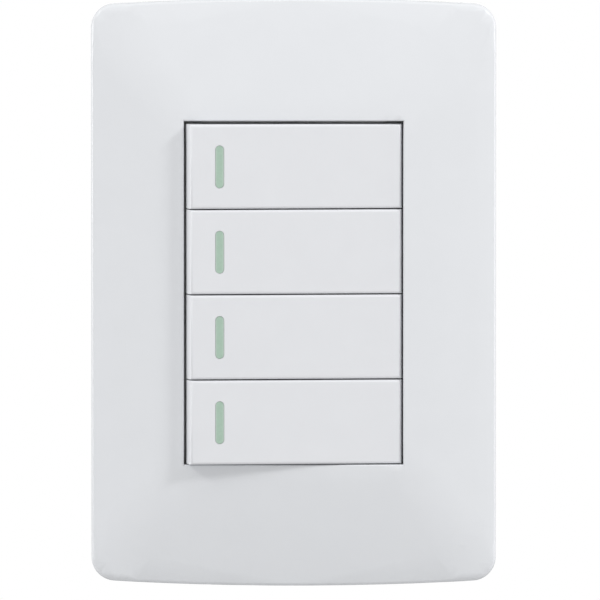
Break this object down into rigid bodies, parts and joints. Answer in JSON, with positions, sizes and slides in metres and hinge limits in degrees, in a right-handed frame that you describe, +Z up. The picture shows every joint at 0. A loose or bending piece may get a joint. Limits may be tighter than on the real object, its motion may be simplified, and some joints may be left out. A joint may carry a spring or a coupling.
{
  "type": "light switch",
  "caption": "Wall light switch with a pillowed white plate and stacked wide rocker keys, each with a pale green glow strip and a lever contact behind it.",
  "frame": {"origin": "middle of the cover plate, on the plane of the wall", "axes": "+X right seen from the front, +Y into the wall, +Z up"},
  "size_m": [0.0812, 0.0311, 0.118],
  "materials": {
    "plate_plastic": "white satin moulding",
    "key_plastic": "white satin moulding",
    "glow_plastic": "pale green, slightly see-through",
    "frame_plastic": "light grey moulding",
    "base_plastic": "grey moulding",
    "plunger_plastic": "ivory moulding",
    "spring_steel": "bright wire",
    "screw_steel": "zinc plated",
    "brass": "plain stamped brass",
    "contact_metal": "silver alloy"
  },
  "bodies": {
    "housing": {"cover_plate": "plate_plastic", "support_frame": "frame_plastic", "box_screws": "screw_steel", "base_1": "base_plastic", "base_2": "base_plastic", "base_3": "base_plastic", "base_4": "base_plastic", "front_cap_1": "base_plastic", "front_cap_2": "base_plastic", "front_cap_3": "base_plastic", "front_cap_4": "base_plastic", "common_terminal_1": "brass", "common_terminal_2": "brass", "common_terminal_3": "brass", "common_terminal_4": "brass", "load_terminal_1": "brass", "load_terminal_2": "brass", "load_terminal_3": "brass", "load_terminal_4": "brass", "fixed_contact_1": "contact_metal", "fixed_contact_2": "contact_metal", "fixed_contact_3": "contact_metal", "fixed_contact_4": "contact_metal", "clamp_screws_1": "screw_steel", "clamp_screws_2": "screw_steel", "clamp_screws_3": "screw_steel", "clamp_screws_4": "screw_steel"},
    "key_1": {"key_1": "key_plastic", "glow_strip_1": "glow_plastic", "spring_1": "spring_steel"},
    "plunger_1": {"plunger_1": "plunger_plastic"},
    "lever_1": {"lever_1": "brass", "moving_contact_1": "contact_metal"},
    "key_2": {"key_2": "key_plastic", "glow_strip_2": "glow_plastic", "spring_2": "spring_steel"},
    "plunger_2": {"plunger_2": "plunger_plastic"},
    "lever_2": {"lever_2": "brass", "moving_contact_2": "contact_metal"},
    "key_3": {"key_3": "key_plastic", "glow_strip_3": "glow_plastic", "spring_3": "spring_steel"},
    "plunger_3": {"plunger_3": "plunger_plastic"},
    "lever_3": {"lever_3": "brass", "moving_contact_3": "contact_metal"},
    "key_4": {"key_4": "key_plastic", "glow_strip_4": "glow_plastic", "spring_4": "spring_steel"},
    "plunger_4": {"plunger_4": "plunger_plastic"},
    "lever_4": {"lever_4": "brass", "moving_contact_4": "contact_metal"}
  },
  "joints": [
    {"name": "key_1_rock", "type": "hinge", "parent": "housing", "child": "key_1", "pos_m": [0, -0.00255, 0.02565], "axis": [0, 0, -1], "range_deg": [0, 9]},
    {"name": "lever_1_tip", "type": "hinge", "parent": "housing", "child": "lever_1", "pos_m": [0, 0.011, 0.02565], "axis": [0, 0, 1], "range_deg": [0, 20]},
    {"name": "plunger_1_slide", "type": "slide", "parent": "key_1", "child": "plunger_1", "axis": [0.0785, -0.9969, 0], "range_m": [0, 0.0008], "stiffness_N_per_m": 400, "springref_m": -0.004, "deforming": ["spring_1"]},
    {"name": "key_2_rock", "type": "hinge", "parent": "housing", "child": "key_2", "pos_m": [0, -0.00255, 0.00855], "axis": [0, 0, -1], "range_deg": [0, 9]},
    {"name": "lever_2_tip", "type": "hinge", "parent": "housing", "child": "lever_2", "pos_m": [0, 0.011, 0.00855], "axis": [0, 0, 1], "range_deg": [0, 20]},
    {"name": "plunger_2_slide", "type": "slide", "parent": "key_2", "child": "plunger_2", "axis": [0.0785, -0.9969, 0], "range_m": [0, 0.0008], "stiffness_N_per_m": 400, "springref_m": -0.004, "deforming": ["spring_2"]},
    {"name": "key_3_rock", "type": "hinge", "parent": "housing", "child": "key_3", "pos_m": [0, -0.00255, -0.00855], "axis": [0, 0, -1], "range_deg": [0, 9]},
    {"name": "lever_3_tip", "type": "hinge", "parent": "housing", "child": "lever_3", "pos_m": [0, 0.011, -0.00855], "axis": [0, 0, 1], "range_deg": [0, 20]},
    {"name": "plunger_3_slide", "type": "slide", "parent": "key_3", "child": "plunger_3", "axis": [0.0785, -0.9969, 0], "range_m": [0, 0.0008], "stiffness_N_per_m": 400, "springref_m": -0.004, "deforming": ["spring_3"]},
    {"name": "key_4_rock", "type": "hinge", "parent": "housing", "child": "key_4", "pos_m": [0, -0.00255, -0.02565], "axis": [0, 0, -1], "range_deg": [0, 9]},
    {"name": "lever_4_tip", "type": "hinge", "parent": "housing", "child": "lever_4", "pos_m": [0, 0.011, -0.02565], "axis": [0, 0, 1], "range_deg": [0, 20]},
    {"name": "plunger_4_slide", "type": "slide", "parent": "key_4", "child": "plunger_4", "axis": [0.0785, -0.9969, 0], "range_m": [0, 0.0008], "stiffness_N_per_m": 400, "springref_m": -0.004, "deforming": ["spring_4"]}
  ],
  "couplings": [
    {"joint": "lever_1_tip", "follows": "key_1_rock", "ratio": 2.2222},
    {"joint": "lever_2_tip", "follows": "key_2_rock", "ratio": 2.2222},
    {"joint": "lever_3_tip", "follows": "key_3_rock", "ratio": 2.2222},
    {"joint": "lever_4_tip", "follows": "key_4_rock", "ratio": 2.2222}
  ]
}
